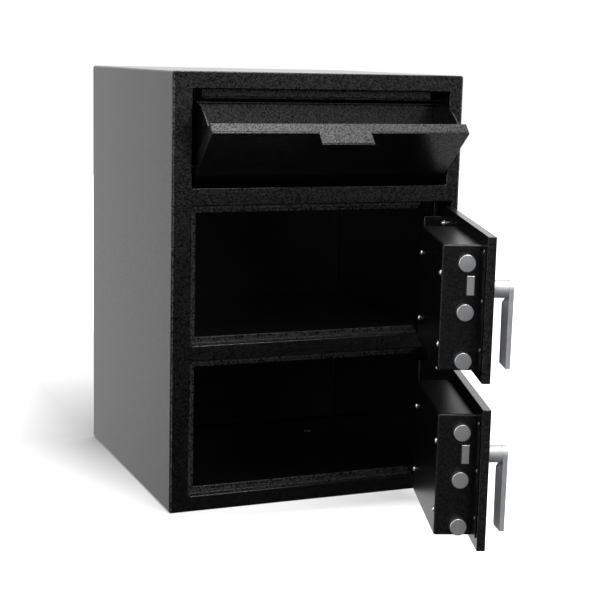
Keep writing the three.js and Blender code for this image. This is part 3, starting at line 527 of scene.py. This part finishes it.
def add_keys(level):
    """Raised key caps on the mat and their digits, drawn in the door's outer plane."""
    outward = -INWARD[level]
    across = -ALONG[level]
    face = DOOR_THICKNESS + KEYPAD_DEPTH - MAT_RECESS + MAT_SEAMS
    origin = on_door(level, KEYPAD_ALONG, -face, KEYPAD_RISE)
    plane = Matrix((across, Vector((0, 0, 1)), outward)).transposed().to_4x4()
    plane.translation = origin
    work = bmesh.new()
    for x, y, _ in key_places():
        made = bmesh.ops.create_cube(work, size=1.0)["verts"]
        bmesh.ops.scale(work, vec=(KEY_SIZE, KEY_SIZE * 0.82, KEY_HEIGHT + 0.0006), verts=made)
        bmesh.ops.translate(work, vec=(x, y, (KEY_HEIGHT - 0.0006) / 2), verts=made)
    bmesh.ops.bevel(work, geom=list(work.edges), offset=0.0007, segments=3, affect="EDGES", profile=0.5)
    work.transform(plane)
    add_piece(f"{level}_keys", mesh_from(work, f"{level}_keys"), MATERIALS["grey_rubber"],
              f"{level}_door")
    digits = bmesh.new()
    for x, y, label in key_places():
        text = bpy.data.curves.new("digit", "FONT")
        text.body = label
        text.size = 0.0068
        text.extrude = 0.00012
        text.align_x = "CENTER"
        text.align_y = "CENTER"
        holder = bpy.data.objects.new("digit", text)
        mesh = bpy.data.meshes.new_from_object(holder)
        mesh.transform(Matrix.Translation((x, y, KEY_HEIGHT + 0.00005)))
        digits.from_mesh(mesh)
        bpy.data.objects.remove(holder)
        bpy.data.curves.remove(text)
        bpy.data.meshes.remove(mesh)
    digits.transform(plane)
    add_piece(f"{level}_digits", mesh_from(digits, f"{level}_digits"), PRINT_WHITE,
              f"{level}_door", False)


# Floor, lights and background
def add_math(tree, operation, *values):
    """A math node on sockets or numbers."""
    node = tree.nodes.new("ShaderNodeMath")
    node.operation = operation
    for socket, value in zip(node.inputs, values):
        if isinstance(value, (int, float)):
            socket.default_value = value
        else:
            tree.links.new(value, socket)
    return node.outputs["Value"]


def add_stage():
    """Pale floor that is white for the camera, but for the safe's soft shadow on its left, whose shape its
    glow paints.
    """
    mesh = bpy.data.meshes.new("studio_floor")
    half = 6.0
    corners = [(-half, -half, 0), (half, -half, 0), (half, half, 0), (-half, half, 0)]
    mesh.from_pydata(corners, [], [(0, 1, 2, 3)])
    floor = bpy.data.objects.new("studio_floor", mesh)
    scene.collection.objects.link(floor)
    material, tree, output = new_material("studio_floor")
    path = tree.nodes.new("ShaderNodeLightPath")
    coordinates = tree.nodes.new("ShaderNodeTexCoord")
    parts = tree.nodes.new("ShaderNodeSeparateXYZ")
    tree.links.new(coordinates.outputs["Object"], parts.inputs["Vector"])
    away = tree.nodes.new("ShaderNodeVectorMath")
    away.operation = "LENGTH"
    tree.links.new(coordinates.outputs["Object"], away.inputs[0])
    front = add_range(tree, parts.outputs["Y"], *OPEN_FRONT, OPEN_GLOW, 0.0)
    right = add_range(tree, parts.outputs["X"], *OPEN_RIGHT, 0.0, OPEN_GLOW)
    far = add_range(tree, away.outputs["Value"], *OPEN_FAR, 0.0, OPEN_GLOW)
    open_floor = add_math(tree, "MAXIMUM", add_math(tree, "MAXIMUM", front, right), far)
    wall_side = add_range(tree, parts.outputs["X"], *AWAY_ZONE, AWAY_GLOW, 0.0)
    front_side = add_range(tree, parts.outputs["Y"], *FRONT_ZONE, FRONT_GLOW, 0.0)
    rear_side = add_range(tree, parts.outputs["Y"], *REAR_ZONE, 0.0, REAR_GLOW)
    shaded_floor = add_math(tree, "ADD", add_math(tree, "ADD", wall_side, front_side), rear_side)
    floor_glow = add_math(tree, "MAXIMUM", open_floor, shaded_floor)
    beside_x = add_math(tree, "ABSOLUTE", parts.outputs["X"])
    beside_y = add_math(tree, "ABSOLUTE", parts.outputs["Y"])
    across = add_range(tree, beside_x, *FOOTPRINT_ACROSS, 0.0, 1.0)
    deep = add_range(tree, beside_y, *FOOTPRINT_DEEP, 0.0, 1.0)
    outside = add_math(tree, "MAXIMUM", across, deep)
    pale = add_node(tree, "ShaderNodeBsdfDiffuse", Color=(FLOOR_PALE, FLOOR_PALE, FLOOR_PALE, 1.0))
    glow = tree.nodes.new("ShaderNodeEmission")
    tree.links.new(add_math(tree, "MULTIPLY", floor_glow, outside), glow.inputs["Strength"])
    both = tree.nodes.new("ShaderNodeAddShader")
    tree.links.new(pale.outputs["BSDF"], both.inputs[0])
    tree.links.new(glow.outputs["Emission"], both.inputs[1])
    mix = tree.nodes.new("ShaderNodeMixShader")
    tree.links.new(path.outputs["Is Camera Ray"], mix.inputs["Fac"])
    tree.links.new(pale.outputs["BSDF"], mix.inputs[1])
    tree.links.new(both.outputs["Shader"], mix.inputs[2])
    tree.links.new(mix.outputs["Shader"], output.inputs["Surface"])
    mesh.materials.append(material)
    floor.visible_glossy = False


def add_world():
    """White for the camera; for the rest, a backdrop behind the safe and a room in front of it."""
    world = bpy.data.worlds.new("studio")
    scene.world = world
    world.use_nodes = True
    tree = world.node_tree
    tree.nodes.clear()
    output = tree.nodes.new("ShaderNodeOutputWorld")
    path = tree.nodes.new("ShaderNodeLightPath")
    coordinates = tree.nodes.new("ShaderNodeTexCoord")
    parts = tree.nodes.new("ShaderNodeSeparateXYZ")
    tree.links.new(coordinates.outputs["Generated"], parts.inputs["Vector"])
    right_side = add_math(tree, "MAXIMUM", parts.outputs["X"], 0.0)
    beside = add_math(tree, "MULTIPLY_ADD", right_side, BACKDROP_REACH, parts.outputs["Y"])
    depth = add_range(tree, beside, *BACKDROP_FADE, 0.0, 1.0)
    low = add_range(tree, parts.outputs["X"], *FLOOR_ACROSS, FLOOR_LEFT, FLOOR_RIGHT)
    room = add_range(tree, parts.outputs["Z"], *ROOM_HEIGHT, ROOM_LOW, ROOM_HIGH)
    room_side = add_range(tree, parts.outputs["X"], *ROOM_ACROSS, ROOM_HIGH, ROOM_RIGHT)
    above = add_range(tree, parts.outputs["Z"], *UPPER_ROOM, 0.0, 1.0)
    high = add_mix(tree, above, room, room_side)
    rise = add_range(tree, parts.outputs["Z"], *HORIZON, 0.0, 1.0)
    ahead = add_mix(tree, rise, low, high)
    sides = add_range(tree, parts.outputs["X"], *BACKDROP_ACROSS, BACKDROP_LEFT, BACKDROP_RIGHT)
    under = add_range(tree, parts.outputs["X"], *UNDER_ACROSS, UNDER_LEFT, UNDER_RIGHT)
    below = add_range(tree, parts.outputs["Z"], *UNDER_HEIGHT, 0.0, 1.0)
    around = add_mix(tree, depth, ahead, add_mix(tree, below, under, sides))
    studio = add_node(tree, "ShaderNodeBackground", Strength=1.0)
    tree.links.new(around, studio.inputs["Color"])
    white = add_node(tree, "ShaderNodeBackground", Color=(1, 1, 1, 1), Strength=1.0)
    mix = tree.nodes.new("ShaderNodeMixShader")
    tree.links.new(path.outputs["Is Camera Ray"], mix.inputs["Fac"])
    tree.links.new(studio.outputs["Background"], mix.inputs[1])
    tree.links.new(white.outputs["Background"], mix.inputs[2])
    tree.links.new(mix.outputs["Shader"], output.inputs["Surface"])


def add_softbox(name, place, target, width, height, power, on_floor=True):
    """A soft area light aimed at a point; without on_floor it shows only in glossy reflections."""
    data = bpy.data.lights.new(name, "AREA")
    data.shape = "RECTANGLE"
    data.size = width
    data.size_y = height
    data.energy = power
    lamp = bpy.data.objects.new(name, data)
    lamp.location = place
    lamp.rotation_euler = (Vector(target) - Vector(place)).to_track_quat("-Z", "Y").to_euler()
    scene.collection.objects.link(lamp)
    lamp.visible_diffuse = on_floor


make_camera()
finish_nodes()
for level in LEVELS:
    add_door_screws(level)
    add_hinge_bolts(level)
    for end in ("top", "bottom"):
        add_threaded_pin(level, end)
    add_keys(level)
add_back_weld()
add_tab_hem_shadow()
add_frame_seam_highlights()
add_stage()
add_world()
add_softbox("key_softbox", (0.05, -1.35, 2.25), (0.0, 0.0, 0.3), 1.4, 1.4, 38.0)
add_softbox("top_softbox", (0.55, -0.55, 2.2), (0.0, -0.3, 0.6), 1.2, 1.0, 6.0)
add_softbox("left_softbox", (-2.0, -0.6, 0.9), (0.0, -0.3, 0.4), 0.5, 1.5, 14.0, on_floor=False)
scene.view_settings.view_transform = "Standard"
